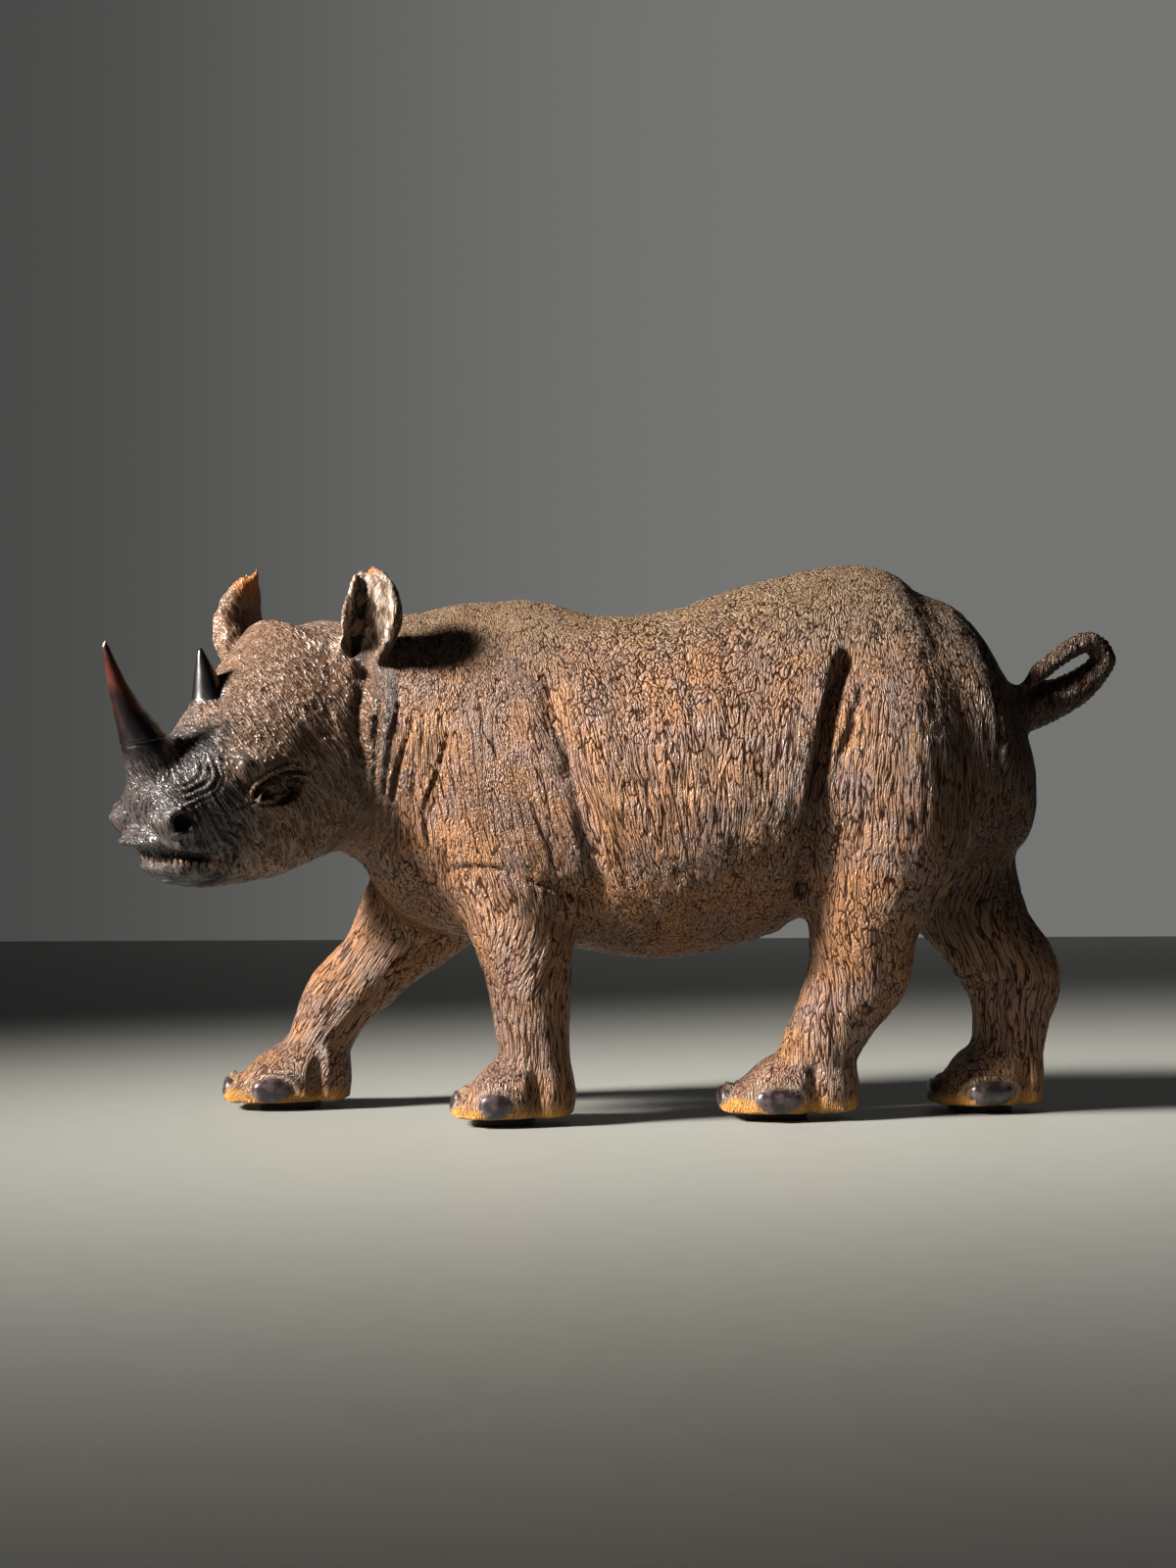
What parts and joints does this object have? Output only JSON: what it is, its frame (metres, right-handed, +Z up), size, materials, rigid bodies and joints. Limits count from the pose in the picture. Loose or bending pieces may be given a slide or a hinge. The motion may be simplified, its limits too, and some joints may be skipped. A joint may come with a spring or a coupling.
{
  "type": "rhinoceros figure",
  "caption": "Carved wooden rhinoceros walking with its head turned to one side, wrinkled dark skin, on felt pads.",
  "frame": {"origin": "under the middle of the whole figure, on the surface that it stands on", "axes": "+Z up; +X from the head to the tail; the head is turned towards -Y"},
  "size_m": [0.5098, 0.1624, 0.2879],
  "materials": {
    "carved_wood": "satin",
    "felt": "matte"
  },
  "bodies": {
    "root": {"carved_body": "carved_wood", "pad_fore_near": "felt", "pad_fore_far": "felt", "pad_hind_near": "felt", "pad_hind_far": "felt"}
  },
  "joints": []
}
